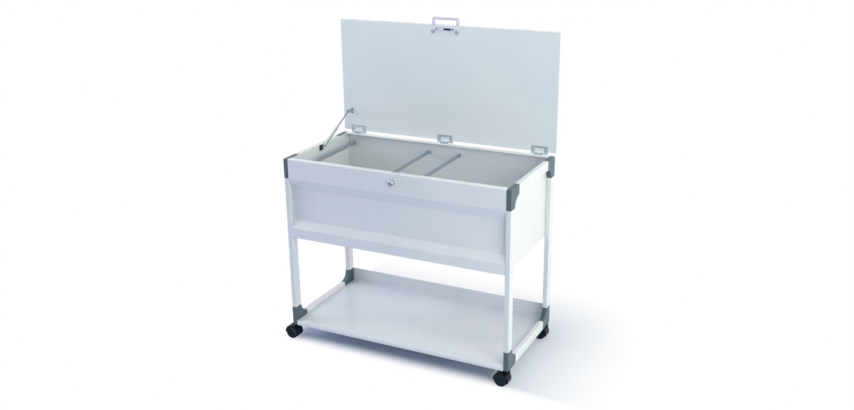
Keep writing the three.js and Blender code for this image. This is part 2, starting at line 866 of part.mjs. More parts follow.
addEndFrames(cart);
addFileBox(cart);
addPiece(cart, 'shelf', shelf(), whiteCoat);
addLid(lid);
addHinges(cart, lid);
addLock(cart);
addStrut(cart, lid);
addCastors(cart);

const extent = new THREE.Box3().setFromObject(cart, true);
const centre = extent.getCenter(new THREE.Vector3());
cart.position.set(-centre.x, -centre.y, -extent.min.z);

export default cart;
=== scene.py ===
import json
import math

import bmesh
import bpy
import numpy as np
from mathutils import Matrix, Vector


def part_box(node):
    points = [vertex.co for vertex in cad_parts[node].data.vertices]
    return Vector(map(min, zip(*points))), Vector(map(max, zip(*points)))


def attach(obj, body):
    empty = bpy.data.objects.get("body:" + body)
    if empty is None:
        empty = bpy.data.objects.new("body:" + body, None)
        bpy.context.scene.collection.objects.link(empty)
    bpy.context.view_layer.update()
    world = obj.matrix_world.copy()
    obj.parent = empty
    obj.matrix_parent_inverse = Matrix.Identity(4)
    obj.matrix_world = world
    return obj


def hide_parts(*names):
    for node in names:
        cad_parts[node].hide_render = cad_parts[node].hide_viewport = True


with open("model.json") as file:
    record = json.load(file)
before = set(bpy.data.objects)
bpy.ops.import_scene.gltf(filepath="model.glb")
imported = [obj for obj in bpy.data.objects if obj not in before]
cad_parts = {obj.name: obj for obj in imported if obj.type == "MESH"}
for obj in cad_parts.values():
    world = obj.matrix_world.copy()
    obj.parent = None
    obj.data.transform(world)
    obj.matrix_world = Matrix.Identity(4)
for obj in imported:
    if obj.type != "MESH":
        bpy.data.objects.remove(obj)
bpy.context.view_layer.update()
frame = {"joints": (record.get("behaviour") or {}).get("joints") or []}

# Shapes are worked out in millimetres from the cart's own zero: mid-width, front of the legs, floor.
joints = {joint["name"]: joint for joint in frame["joints"]}
shelfLow, shelfHigh = (np.array(corner) * 1000 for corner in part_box("shelf"))
cartZero = np.array([(shelfLow[0] + shelfHigh[0]) / 2, shelfLow[1], 0])


def boxOf(node):
    return [np.array(corner) * 1000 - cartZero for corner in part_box(node)]


def jointAt(name):
    return np.array(joints[name]["pos_m"]) * 1000 - cartZero


lidAxis = jointAt("lid_hinge")
lidCentre = np.mean(boxOf("lid_board"), 0)
rimHeight = boxOf("front_panel")[1][2]
cartDepth = boxOf("rear_panel")[1][1]
panelHalf = boxOf("front_panel")[1][0]
sheet = 1.5
fit = 0.3

bpy.context.scene.view_settings.view_transform = "Standard"
print("frame loaded")


# Colour and materials

def colour(code):
    # sRGB hex to linear: c/12.92 below 0.04045, else ((c + 0.055)/1.055)^2.4
    c = np.array([int(code[i:i + 2], 16) for i in (1, 3, 5)]) / 255
    linear = np.where(c <= 0.04045, c / 12.92, ((c + 0.055) / 1.055) ** 2.4)
    return (*linear, 1.0)


def every(mm):
    # texture scale for a pattern that repeats about every so many millimetres
    return 1000 / mm


def node(tree, kind, inputs, **settings):
    # one node with its settings; an input is linked when it is given a socket, and set otherwise
    made = tree.nodes.new(kind)
    for key, value in settings.items():
        setattr(made, key, value)
    for key, value in inputs.items():
        if isinstance(value, bpy.types.NodeSocket):
            tree.links.new(value, made.inputs[key])
        else:
            made.inputs[key].default_value = value
    return made


def startMaterial(name, **sockets):
    material = bpy.data.materials.new(name)
    material.use_nodes = True
    tree = material.node_tree
    shader = tree.nodes["Principled BSDF"]
    for key, value in sockets.items():
        shader.inputs[key.replace("_", " ")].default_value = value
    place = node(tree, "ShaderNodeTexCoord", {}).outputs["Object"]
    return material, tree, shader, place


def surface(name, look):
    # Two close shades by a wide pattern, a roughness that wanders, and a fine relief.
    # A stretch draws the pattern out along one axis, as rolling or brushing does.
    material, tree, shader, place = startMaterial(name, **look["sockets"])
    stretch = look.get("stretch", (1, 1, 1))
    drawn = node(tree, "ShaderNodeMapping", {"Vector": place, "Scale": stretch}).outputs[0]
    wide = node(tree, "ShaderNodeTexNoise", {"Vector": drawn, "Scale": every(look["mottle"]), "Detail": 4})
    even = node(tree, "ShaderNodeMapRange", {"Value": wide.outputs[0], "From Min": 0.3, "From Max": 0.7})
    shades = {0: even.outputs[0], 6: colour(look["shades"][0]), 7: colour(look["shades"][1])}
    shade = node(tree, "ShaderNodeMix", shades, data_type="RGBA")
    tree.links.new(shade.outputs[2], shader.inputs["Base Color"])
    patch = node(tree, "ShaderNodeTexNoise", {"Vector": drawn, "Scale": every(look["patch"]), "Detail": 3})
    low, high = look["roughness"]
    gloss = node(tree, "ShaderNodeMapRange", {"Value": patch.outputs[0], "From Min": 0.3, "From Max": 0.7,
                                              "To Min": low, "To Max": high})
    tree.links.new(gloss.outputs[0], shader.inputs["Roughness"])
    grain = node(tree, "ShaderNodeTexNoise", {"Vector": drawn, "Scale": every(look["grain"]), "Detail": 2})
    relief = node(tree, "ShaderNodeBump", {"Height": grain.outputs[0], "Strength": look["strength"],
                                           "Distance": look["relief"] / 1000})
    tree.links.new(relief.outputs[0], shader.inputs["Normal"])
    return material


# Polyester powder coat on sheet steel, sprayed dry and baked: an even white with a faint orange peel,
# and enough gloss to give back what stands on it. The peel is 1.5 mm apart, drawn at 5 mm so that it shows.
powderCoat = surface("white powder coat on steel", {
    "shades": ("#e1e4e7", "#e5e7e9"), "mottle": 90, "patch": 35, "roughness": (0.19, 0.25),
    "grain": 5, "relief": 0.04, "strength": 0.2, "sockets": {"IOR": 1.5}})

# Melamine-faced chipboard, pressed against a pearl-grained plate: matt, pale grey, with a fine pebble.
# The pearl is 0.6 mm apart, drawn at 5 mm so that it shows.
melamine = surface("pale grey melamine face", {
    "shades": ("#e0e6e8", "#e5eaeb"), "mottle": 140, "patch": 40, "roughness": (0.42, 0.52),
    "grain": 5, "relief": 0.05, "strength": 0.25, "sockets": {"IOR": 1.5}})

# ABS edging, extruded and ironed on: whiter and glossier than the board, with faint drawn lines.
edging = surface("ABS edging", {
    "shades": ("#e6e9ea", "#ebeded"), "mottle": 60, "patch": 15, "roughness": (0.28, 0.36),
    "grain": 4, "relief": 0.04, "strength": 0.3, "stretch": (0.1, 1, 0.1), "sockets": {"IOR": 1.53}})

# Cut chipboard inside the lock's pocket: brown chips of all sizes, darkened as painted shade inside the pocket.
chipboard = surface("cut chipboard", {
    "shades": ("#2a2420", "#463b31"), "mottle": 3, "patch": 4, "roughness": (0.75, 0.9),
    "grain": 1.5, "relief": 0.4, "strength": 1.0, "sockets": {"IOR": 1.5}})

# ABS, moulded in a spark-eroded tool: blue-grey, silky, with an even fine grain.
# The grain is 0.3 mm, drawn at 2.5 mm so that it shows.
mouldedGrey = surface("blue-grey moulded ABS", {
    "shades": ("#405561", "#485d69"), "mottle": 30, "patch": 10, "roughness": (0.36, 0.46),
    "grain": 2.5, "relief": 0.08, "strength": 0.25, "sockets": {"IOR": 1.6}})

# Glass-filled nylon, moulded: near black, with a soft broad sheen; a blue specular tint paints its reflections cooler.
blackNylon = surface("black moulded nylon", {
    "shades": ("#0c1219", "#111820"), "mottle": 12, "patch": 8, "roughness": (0.29, 0.36),
    "grain": 3, "relief": 0.05, "strength": 0.3, "sockets": {"IOR": 1.27, "Specular_Tint": colour("#b4c4e2")}})

# Nylon wheels: greyer than the hood, a painted sheen, with the same blue tint painted into their reflections.
wheelNylon = surface("dark nylon wheel", {
    "shades": ("#19222c", "#1f2933"), "mottle": 9, "patch": 6, "roughness": (0.29, 0.35),
    "grain": 2, "relief": 0.04, "strength": 0.2, "sockets": {"IOR": 1.27, "Specular_Tint": colour("#b4c4e2")}})

# Steel, zinc plated and passivated: dull silver with a blue cast and a drifting cloud.
zincPlate = surface("zinc plated steel", {
    "shades": ("#b3bfcb", "#c0cad4"), "mottle": 8, "patch": 5, "roughness": (0.38, 0.5),
    "grain": 1.5, "relief": 0.04, "strength": 0.3, "sockets": {"Metallic": 1.0}})

# Steel, bright zinc plated: paler than the hinges and a little lilac.
brightZinc = surface("bright zinc plated steel", {
    "shades": ("#bcc1d6", "#c8ccdd"), "mottle": 8, "patch": 5, "roughness": (0.36, 0.46),
    "grain": 1.5, "relief": 0.04, "strength": 0.3, "sockets": {"Metallic": 1.0}})

# Aluminium bar, bead blasted and anodised: satin, pale lilac-grey, faint lines along the bar.
anodised = surface("anodised aluminium handle", {
    "shades": ("#bfc0d8", "#c9c9e0"), "mottle": 30, "patch": 8, "roughness": (0.19, 0.26),
    "grain": 2, "relief": 0.04, "strength": 0.2, "stretch": (0.15, 1, 1), "sockets": {"Metallic": 1.0}})

# Die-cast zinc, polished and nickelled: grey, with a clear bright light and a slight ripple.
# The grey is darker than nickel: a painted dark reflection round the lamps' bright light.
nickel = surface("polished nickel", {
    "shades": ("#8a94a2", "#98a2af"), "mottle": 12, "patch": 6, "roughness": (0.12, 0.18),
    "grain": 4, "relief": 0.02, "strength": 0.2, "sockets": {"Metallic": 1.0}})

# Drawn steel tube, nickel plated: bright, with lines along its length.
drawnTube = surface("bright drawn steel tube", {
    "shades": ("#b4bebd", "#c2cac9"), "mottle": 14, "patch": 6, "roughness": (0.18, 0.26),
    "grain": 2, "relief": 0.03, "strength": 0.3, "stretch": (1, 0.1, 0.2), "sockets": {"Metallic": 1.0}})

# Ground steel piston rod: smooth, and a little darker as a painted reflection of the box it mirrors.
groundRod = surface("ground steel rod", {
    "shades": ("#868e92", "#949ca0"), "mottle": 10, "patch": 6, "roughness": (0.14, 0.22),
    "grain": 1.5, "relief": 0.02, "strength": 0.2, "stretch": (1, 0.1, 0.2), "sockets": {"Metallic": 1.0}})

# Pressed steel, dipped black: satin with slightly uneven paint.
blackPaint = surface("black painted steel", {
    "shades": ("#2b3137", "#343b42"), "mottle": 10, "patch": 6, "roughness": (0.36, 0.5),
    "grain": 2.5, "relief": 0.05, "strength": 0.4, "sockets": {"IOR": 1.5}})

# Soft PVC, moulded: matt lilac-grey pads.
softPad = surface("soft grey PVC", {
    "shades": ("#a4a9c1", "#aeb2ca"), "mottle": 8, "patch": 5, "roughness": (0.55, 0.7),
    "grain": 1.5, "relief": 0.06, "strength": 0.4, "sockets": {"IOR": 1.5}})

# Screws, cold formed and black passivated: dark grey with a dull shine.
darkScrew = surface("black passivated screw", {
    "shades": ("#3c434a", "#4b535b"), "mottle": 4, "patch": 3, "roughness": (0.35, 0.5),
    "grain": 1, "relief": 0.03, "strength": 0.3, "sockets": {"Metallic": 0.8}})
print("materials ready")


# Outlines: arrays of points in a plane

def unit(v):
    return v / np.linalg.norm(v, axis=-1, keepdims=True)


def rounded(points, radius, steps=5, hold=0.4, closed=True):
    # Each corner becomes an arc of a circle that touches its two sides: it leaves each side at
    # radius/tan(half the angle between them). A point just outside each end keeps the sides flat.
    p = np.asarray(points, float)
    before, corner, after = (np.roll(p, 1, 0), p, np.roll(p, -1, 0)) if closed else (p[:-2], p[1:-1], p[2:])
    a = unit(before - corner)
    b = unit(after - corner)
    half = np.arccos((a * b).sum(1)) / 2
    r = np.broadcast_to(np.asarray(radius, float), half.shape)
    reach = (r / np.tan(half))[:, None]
    centre = corner + unit(a + b) * (r / np.sin(half))[:, None]
    turn = (np.pi - 2 * half)[:, None, None]
    t = np.linspace(0, 1, steps + 1)[None, :, None]
    start = (corner + a * reach - centre)[:, None]
    end = (corner + b * reach - centre)[:, None]
    swept = (np.sin((1 - t) * turn) * start + np.sin(t * turn) * end) / np.sin(turn)
    held = [(corner + a * (reach + hold))[:, None], centre[:, None] + swept, (corner + b * (reach + hold))[:, None]]
    arcs = np.concatenate(held, 1).reshape(-1, 2)
    return arcs if closed else np.vstack([p[:1], arcs, p[-1:]])


def rectangle(centre, size, radius, steps=5):
    corners = np.array([[1, 1], [-1, 1], [-1, -1], [1, -1]]) * np.array(size) / 2
    return rounded(corners + centre, radius, steps)


def arc(centre, radius, start, end, steps):
    angle = np.radians(np.linspace(start, end, steps + 1))
    return np.array(centre) + radius * np.stack([np.cos(angle), np.sin(angle)], 1)


def mitre(path, closed):
    # sideways direction at each point: the mean of the right-hand normals of its two sides,
    # lengthened so that both sides move by the same distance
    sides = np.diff(path, axis=0, append=path[:1]) if closed else np.diff(path, axis=0)
    normal = unit(sides) @ np.array([[0.0, -1.0], [1.0, 0.0]])
    before = np.roll(normal, 1, 0) if closed else np.vstack([normal[:1], normal])
    after = normal if closed else np.vstack([normal, normal[-1:]])
    return (before + after) / (1 + (before * after).sum(1, keepdims=True))


def bentSheet(path, radius, thickness=sheet):
    # a bent sheet seen end on: the rounded path is one face, and the other lies on its right
    face = rounded(path, radius, 6, 0.6, closed=False)
    other = face + thickness * mitre(face, False)
    return np.vstack([face, other[::-1]])


# Surfaces: grids of points, each returned with its faces and the material slot of each face

axisOrder = {"x": [2, 0, 1], "y": [0, 2, 1], "z": [0, 1, 2]}  # where (u, v, along) go


def shell(rings, closed=False, slots=None):
    # Quads join each ring of points to the next. The end rings are filled, or joined to each other.
    n, m = rings.shape[:2]
    index = np.arange(n * m).reshape(n, m)
    first = index if closed else index[:-1]
    second = np.roll(index, -1, 0) if closed else index[1:]
    quads = np.stack([first, np.roll(first, -1, 1), np.roll(second, -1, 1), second], -1).reshape(-1, 4)
    caps = [] if closed else [index[0][::-1], index[-1]]
    gaps = np.zeros(len(first), int) if slots is None else np.asarray(slots)
    return rings.reshape(-1, 3), quads, caps, np.append(np.repeat(gaps, m), [0] * len(caps))


def slab(outline, low, high, edge, axis, steps=3, hold=0.3, rimSlot=0):
    # An outline carried along an axis, with a quarter round on both rims: on the way round, the outline
    # shrinks by edge*(1 - sin t) where it has risen by edge*(1 - cos t).
    x, y = outline.T
    area = (x * np.roll(y, -1) - y * np.roll(x, -1)).sum()
    flat = outline if area > 0 else outline[::-1]
    t = np.linspace(0, np.pi / 2, steps + 1)
    half = np.append(edge + hold, edge * (1 - np.sin(t)))
    rise = np.append(0, edge * (1 - np.cos(t)))
    inset = np.append(half, half[::-1])[:, None, None]
    height = np.append(low + rise, high - rise[::-1])
    plane = flat - inset * mitre(flat, True)
    along = np.broadcast_to(height[:, None, None], (*plane.shape[:2], 1))
    slots = np.full(len(height) - 1, rimSlot)
    slots[[0, -1]] = 0
    return shell(np.concatenate([plane, along], -1)[..., axisOrder[axis]], slots=slots)


def turned(profile, centre, axis, sides=40, closed=False):
    # (radius, height) points turned about an axis: centre + height*axis + radius*(u cos a + v sin a)
    r, h = np.asarray(profile, float).T
    w = unit(np.array(axis, float))
    u = unit(np.cross(w, [0.36, 0.48, 0.8]))
    angle = (np.arange(sides) * 2 * np.pi / sides)[:, None]
    circle = np.cos(angle) * u + np.sin(angle) * np.cross(w, u)
    return shell(np.array(centre) + h[:, None, None] * w + r[:, None, None] * circle, closed)


def moved(part, change):
    return (change(part[0]), *part[1:])


def inSlot(part, slot):
    return (*part[:3], np.full(len(part[3]), slot))


def openLid(points):
    # a quarter turn about the hinge, from shut to open
    x, y, z = np.moveaxis(points, -1, 0)
    return np.stack([x, lidAxis[1] + z - lidAxis[2], lidAxis[2] - y + lidAxis[1]], -1)


# Pieces

def meshFrom(name, parts):
    starts = np.cumsum([0] + [len(part[0]) for part in parts])
    faces = []
    for (points, quads, caps, slots), start in zip(parts, starts):
        faces += (quads + start).tolist() + [(cap + start).tolist() for cap in caps]
    mesh = bpy.data.meshes.new(name)
    mesh.from_pydata((np.vstack([part[0] for part in parts]) + cartZero) / 1000, [], faces)
    mesh.polygons.foreach_set("material_index", np.concatenate([part[3] for part in parts]).astype(np.int32))
    work = bmesh.new()
    work.from_mesh(mesh)
    bmesh.ops.remove_doubles(work, verts=work.verts, dist=1e-7)
    bmesh.ops.recalc_face_normals(work, faces=work.faces)
    work.to_mesh(mesh)
    work.free()
    return mesh


def cutOut(piece, tools, material=None):
    cutter = bpy.data.objects.new("cutter", meshFrom("cutter", tools))
    bpy.context.scene.collection.objects.link(cutter)
    if material:
        cutter.data.materials.append(material)
    cut = piece.modifiers.new("cut", "BOOLEAN")
    cut.object = cutter
    cut.solver = "EXACT"
    cut.material_mode = "TRANSFER" if material else "INDEX"
    bpy.context.view_layer.update()
    result = bpy.data.meshes.new_from_object(piece.evaluated_get(bpy.context.evaluated_depsgraph_get()))
    piece.modifiers.clear()
    piece.data = result
    bpy.data.objects.remove(cutter)


def piece(name, parts, materials, body, nodes=(), slot=None, tools=None, toolMaterial=None, sharp=40):
    made = bpy.data.objects.new(name, meshFrom(name, parts))
    bpy.context.scene.collection.objects.link(made)
    for material in materials:
        made.data.materials.append(material)
    if tools:
        cutOut(made, tools, toolMaterial)
    made.data.polygons.foreach_set("use_smooth", np.ones(len(made.data.polygons), bool))
    made.data.set_sharp_from_angle(angle=math.radians(sharp))
    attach(made, body)
    if nodes:
        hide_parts(*nodes)
    return made


# End frames: flat oval tube in moulded corners

tube = {"wall": 1.5, "corner": 2.5, "endRound": 0.3}


def tubeBetween(low, high):
    # a rounded rectangle carried along the longest side of a box, out along the skin and back along the bore
    along = int(np.argmax(high - low))
    u, v = [i for i in range(3) if i != along]
    centre = (low + high)[[u, v]] / 2
    size = (high - low)[[u, v]]
    e = tube["endRound"]
    outer = rectangle(centre, size, tube["corner"])
    inner = rectangle(centre, size - 2 * tube["wall"], tube["corner"] - tube["wall"])
    flats = [outer, outer, outer - e * np.sign(outer - centre), inner, inner, outer - e * np.sign(outer - centre)]
    ends = [low[along] + e, high[along] - e, high[along], high[along], low[along], low[along]]
    rings = np.zeros((6, len(outer), 3))
    rings[..., [u, v]] = flats
    rings[..., along] = np.array(ends)[:, None]
    return shell(rings, closed=True)


for side in ("left", "right"):
    tubes = [f"leg_{row}_{side}" for row in ("front", "rear")] + [f"rail_{level}_{side}" for level in ("upper", "lower")]
    for name in tubes:
        piece(f"{name}_tube", [tubeBetween(*boxOf(name))], [powderCoat], "frame", [name], "white_coat")

corner = {"arm": 73, "face": 35, "sag": 10, "round": 4, "edge": 0.9, "spigotInset": 1.8,
          "socketRadius": 5.3, "socketDepth": 34}


def cornerOutline():
    # an L with a rounded outer corner, and a hollow circle arc between the ends of its arms
    arm, face, sag = corner["arm"], corner["face"], corner["sag"]
    chord = (arm - face) * math.sqrt(2)
    radius = (chord ** 2 / 4 + sag ** 2) / (2 * sag)
    centre = (arm + face) / 2 + (radius - sag) / math.sqrt(2)
    start = math.degrees(math.atan2(face - centre, arm - centre))
    end = math.degrees(math.atan2(arm - centre, face - centre))
    outer = rounded([[0, arm], [0, 0], [arm, 0]], corner["round"], 8, closed=False)
    return np.vstack([outer, arc([centre, centre], radius, start, end, 24)])


def cornerBlock(name, row, level):
    low, high = boxOf(name)
    outline = cornerOutline()
    depth = low[1] + outline[:, 0] if row == "front" else high[1] - outline[:, 0]
    height = low[2] + outline[:, 1] if level == "lower" else high[2] - outline[:, 1]
    body = slab(np.stack([depth, height], 1), low[0], high[0], corner["edge"], "x", 4)
    half = corner["face"] / 2
    yMid = low[1] + half if row == "front" else high[1] - half
    zMid = low[2] + half if level == "lower" else high[2] - half
    xMid = (low[0] + high[0]) / 2
    size = np.array([high[0] - low[0], corner["face"]]) - 2 * corner["spigotInset"]
    arm = corner["arm"] - 2
    zSpan = (low[2] + arm, high[2]) if level == "lower" else (low[2], high[2] - arm)
    ySpan = (low[1] + arm, high[1]) if row == "front" else (low[1], high[1] - arm)
    upright = slab(rectangle([xMid, yMid], size, 1), *zSpan, 0.4, "z")
    level_ = slab(rectangle([xMid, zMid], size, 1), *ySpan, 0.4, "y")
    return [body, upright, level_], np.array([xMid, yMid, low[2]])


for side in ("left", "right"):
    for row in ("front", "rear"):
        for level in ("upper", "lower"):
            name = f"connector_{level}_{row}_{side}"
            parts, foot = cornerBlock(name, row, level)
            socket = [[0, -2], [corner["socketRadius"], -2], [corner["socketRadius"], corner["socketDepth"]],
                      [0, corner["socketDepth"]]]
            tools = [turned(socket, foot, [0, 0, 1], 32)] if level == "lower" else None
            piece(f"{name}_moulding", parts, [mouldedGrey], "frame", [name], "connector_plastic", tools)
print("end frames done")


# File box: bent sheets, drawn end on and carried across the cart

fileBox = {"bottom": 422, "frontFlange": 22, "rearFlange": 26, "bottomFlange": 15, "band": 75, "upperSlant": 37,
           "lowerSlant": 30, "lip": 39, "recess": 16, "bend": 3, "floorTop": 436}
lock = {"drop": 33, "holeRadius": 9.3, "slotFront": 8.5, "slotBack": 15.5}
lockZ = rimHeight - lock["drop"]


def camSlot(end, low, high):
    slotShape = np.array([[-4.7, lock["slotFront"]], [end, lock["slotFront"]],
                          [end, lock["slotBack"]], [-4.7, lock["slotBack"]]])
    return slab(rounded(slotShape, 1.2), low, high, 0.05, "z", 1, 0.05)


b = fileBox
frontPath = [[b["bottomFlange"], b["bottom"]], [0, b["bottom"]], [0, b["bottom"] + b["lip"]],
             [b["recess"], b["bottom"] + b["lip"] + b["lowerSlant"]],
             [b["recess"], rimHeight - b["band"] - b["upperSlant"]], [0, rimHeight - b["band"]],
             [0, rimHeight], [b["frontFlange"], rimHeight]]
rearPath = [[cartDepth - b["rearFlange"], rimHeight], [cartDepth, rimHeight],
            [cartDepth, b["bottom"]], [cartDepth - b["bottomFlange"], b["bottom"]]]
lockHole = turned([[0, -3], [lock["holeRadius"], -3], [lock["holeRadius"], 4], [0, 4]], [0, 0, lockZ], [0, 1, 0])
rimSlot = camSlot(28.5, rimHeight - 4, rimHeight + 2)
piece("front_panel_sheet", [slab(bentSheet(frontPath, b["bend"]), -panelHalf, panelHalf, 0.3, "x", 2, 0.1)],
      [powderCoat], "frame", ["front_panel"], "white_coat", [lockHole, rimSlot])
piece("rear_panel_sheet", [slab(bentSheet(rearPath, b["bend"]), -panelHalf, panelHalf, 0.3, "x", 2, 0.1)],
      [powderCoat], "frame", ["rear_panel"], "white_coat")

floorLow, floorHigh = boxOf("box_floor")
floorPath = [[floorLow[0], floorLow[2]], [floorLow[0], floorHigh[2]], [floorHigh[0], floorHigh[2]],
             [floorHigh[0], floorLow[2]]]
piece("box_floor_sheet", [slab(bentSheet(floorPath, b["bend"]), floorLow[1], floorHigh[1], 0.3, "y", 2, 0.1)],
      [powderCoat], "frame", ["box_floor"], "white_coat")

for side in ("left", "right"):
    low, high = boxOf(f"side_panel_{side}")
    outline = rectangle((low + high)[1:] / 2, (high - low)[1:], 2)
    piece(f"side_panel_{side}_sheet", [slab(outline, low[0], high[0], 0.3, "x", 2, 0.1)],
          [powderCoat], "frame", [f"side_panel_{side}"], "white_coat")

fileRail = {"thickness": 3, "foot": 2, "edge": 0.6}
for side in ("left", "right"):
    for place in ("inner", "outer"):
        name = f"file_rail_{side}_{place}"
        low, high = boxOf(name)
        x = (low[0] + high[0]) / 2
        half, foot, t = (high[0] - low[0]) / 2, fileRail["foot"], fileRail["thickness"] / 2
        y0, y1 = low[1], high[1]
        shape = np.array([[-half, y0], [half, y0], [half, y0 + foot], [t, y0 + foot], [t, y1 - foot], [half, y1 - foot],
                          [half, y1], [-half, y1], [-half, y1 - foot], [-t, y1 - foot], [-t, y0 + foot], [-half, y0 + foot]])
        outline = rounded(shape + [x, 0], 0.8, 3, 0.15)
        piece(f"{name}_bar", [slab(outline, low[2], high[2], fileRail["edge"], "z", 3, 0.1)],
              [zincPlate], "frame", [name], "zinc_steel")
print("file box done")

shelf = {"edge": 20, "upstand": 53, "flange": 16, "bends": (14, 3), "sideRound": 3}


def shelfTray():
    # The bent profile carried across the cart. Near each end, its top sinks by r - sqrt(r^2 - (r - d)^2)
    # at a distance d from the end, so the sides turn down as bent steel does.
    low, high = boxOf("shelf")
    top = low[2] + shelf["edge"]
    back = high[1] - sheet
    r = shelf["sideRound"]
    profile = bentSheet([[0, low[2]], [0, top], [back, top], [back, top + shelf["upstand"]]], shelf["bends"])
    d = r * (1 - np.cos(np.linspace(0, np.pi / 2, 7)))
    d = np.append(d, r + 0.5)
    x = np.append(-panelHalf + d, panelHalf - d[::-1])
    near = np.append(d, d[::-1])
    sink = r - np.sqrt(np.clip(r ** 2 - np.clip(r - near, 0, r) ** 2, 0, None))
    weight = np.clip(1 - np.abs(profile[:, 1] - top) / 12, 0, 1)
    rings = np.empty((len(x), len(profile), 3))
    rings[..., 0] = x[:, None]
    rings[..., 1] = profile[:, 0]
    rings[..., 2] = profile[:, 1] - sink[:, None] * weight
    flanges = []
    for sign in (-1, 1):
        outer = np.sort([sign * panelHalf, sign * (panelHalf - sheet)])
        plate = rectangle([back / 2 + 0.4, top - shelf["flange"] / 2 - 1.5], [back - 0.8, shelf["flange"] - 3], 1)
        flanges.append(slab(plate, *outer, 0.3, "x", 2, 0.1))
    return [shell(rings)] + flanges


piece("shelf_tray", shelfTray(), [powderCoat], "frame", ["shelf"], "white_coat")
print("shelf done")


# Lid, drawn shut and turned open

lid = {"thickness": 18, "corner": 3, "edge": 1.0, "gap": 2}
lidUnder = rimHeight + lid["gap"]
lidSeat = lidUnder - fit
plateFace = lidSeat - 1.5  # face of the plates let on to the lid
lidFront, lidRear = -2, cartDepth + 2
lidWidth = np.ptp([corner[0] for corner in boxOf("lid_board")])
board = slab(rectangle([0, (lidFront + lidRear) / 2], [lidWidth, lidRear - lidFront], lid["corner"]),
             lidUnder, lidUnder + lid["thickness"], lid["edge"], "z", 4, 0.5, rimSlot=1)
pocket = camSlot(26.4, lidUnder - 2, lidUnder + 12)
piece("lid_panel", [moved(board, openLid)], [melamine, edging], "lid", ["lid_board"], "grey_board",
      [moved(pocket, openLid)], chipboard)

handle = {"width": 107, "reach": 28, "bar": 8.5, "thickness": 11, "outerRound": 6, "innerRound": 2.5, "edge": 1.6}


def handleBow():
    # a flat bar bent to a bow, seen from above: a wide U less a narrower one
    half, inner = handle["width"] / 2, handle["width"] / 2 - handle["bar"]
    root, tip = lidFront - fit, lidFront - handle["reach"]
    outside = rounded([[-half, root], [-half, tip], [half, tip], [half, root]], handle["outerRound"], 8, closed=False)
    bar = tip + handle["bar"]
    inside = rounded([[inner, root], [inner, bar], [-inner, bar], [-inner, root]], handle["innerRound"], 6, closed=False)
    bottom = lidUnder + (lid["thickness"] - handle["thickness"]) / 2
    return slab(np.vstack([outside, inside]), bottom, bottom + handle["thickness"], handle["edge"], "z", 4, 0.2)


piece("lid_pull", [moved(handleBow(), openLid)], [anodised], "lid", ["lid_handle"], "handle_grey")


def screwHead(centre, axis, radius, rise, cross, depth):
    # A lens on a polar grid: rise*(1 - (r/R)^2), less a cross whose arms are cross wide and fade at 0.6 R
    r = np.linspace(1, 0, 13)[:, None] * radius
    angle = np.linspace(0, 2 * np.pi, 48, endpoint=False)[None, :]
    x, y = r * np.cos(angle), r * np.sin(angle)
    arms = np.maximum(cross / 2 - np.minimum(np.abs(x), np.abs(y)), 0) / (cross / 2)
    inside = np.clip((0.62 * radius - r) / (0.12 * radius), 0, 1)
    h = rise * (1 - (r / radius) ** 2) - depth * np.clip(arms * 3, 0, 1) * inside
    w = unit(np.array(axis, float))
    u = unit(np.cross(w, [0.36, 0.48, 0.8]))
    rings = np.array(centre) + x[..., None] * u + y[..., None] * np.cross(w, u) + h[..., None] * w
    under = rings[:1] - 1.2 * w
    return shell(np.concatenate([under, rings]))


def screwHole(centre, axis, radius):
    return turned([[0, -0.9], [radius, -0.9], [radius, 2], [0, 2]], centre, axis, 32)


strike = {"length": 78, "width": 14, "corner": 3, "screwIn": 6, "screwRadius": 2.9}
down = [0, 0, -1]
camMiddle = (lock["slotFront"] + lock["slotBack"]) / 2
plate = slab(rectangle([0, camMiddle], [strike["length"], strike["width"]], strike["corner"]),
             plateFace, lidSeat, 0.35, "z", 3, 0.1)
screwX = strike["length"] / 2 - strike["screwIn"]
strikeScrews = [[-screwX, camMiddle, plateFace], [screwX, camMiddle, plateFace]]
holes = [screwHole(at, down, strike["screwRadius"] + 0.15) for at in strikeScrews]
piece("strike_plate_stamping", [moved(plate, openLid)], [brightZinc], "lid", ["strike_plate"], "zinc_steel",
      [moved(part, openLid) for part in [camSlot(26.4, plateFace - 1, lidSeat + 1), *holes]])
heads = [screwHead([*at[:2], plateFace + 0.1], down, strike["screwRadius"], 0.2, 1.2, 0.7) for at in strikeScrews]
piece("strike_plate_screws", [moved(part, openLid) for part in heads], [darkScrew], "lid", slot="zinc_steel")

buffer = {"radius": 8, "crown": 0.7}


def bufferPad(name):
    # a low dome: full height less crown*(r/R)^4, down to a short upright rim
    low, high = boxOf(name)
    r = np.linspace(0, 1, 12)
    h = high[1] - low[1]
    profile = np.stack([r * buffer["radius"], h - buffer["crown"] * r ** 4], 1)
    profile = np.vstack([profile, [[buffer["radius"], 0.05], [0, 0.05]]])
    centre = (low + high) / 2
    centre[1] = high[1]
    return turned(profile, centre, [0, -1, 0], 40)


for side in ("left", "right"):
    piece(f"lid_buffer_{side}_pad", [bufferPad(f"lid_buffer_{side}")], [softPad], "lid", [f"lid_buffer_{side}"],
          "buffer_rubber")
print("lid done")


# Hinges, drawn shut: the rim leaf's tab lies in the window of the lid leaf

hinge = {"width": 63, "leafDepth": 21.5, "window": 36, "windowDepth": 15, "dip": 2.5, "tabGap": 1, "tabDepth": 7,
         "tabPoint": 2.5, "knuckle": 3.5, "pin": 1.7, "head": 1.2, "leaf": 1.5, "screwRadius": 2.6}
axisY, axisZ = lidAxis[1], lidAxis[2]


def knuckle(x0, x1):
    # a rolled eye: out along the skin, over a small chamfer and back along the bore
    outer, bore, c = hinge["knuckle"], hinge["pin"] + fit, 0.35
    profile = [[bore, x0], [outer - c, x0], [outer, x0 + c], [outer, x1 - c], [outer - c, x1], [bore, x1]]
    return turned(profile, [0, axisY, axisZ], [1, 0, 0], 32, closed=True)


def leafPlate(outline, bottom):
    return slab(rounded(outline, 0.9, 4, 0.15), bottom, bottom + hinge["leaf"], 0.3, "z", 2, 0.1)


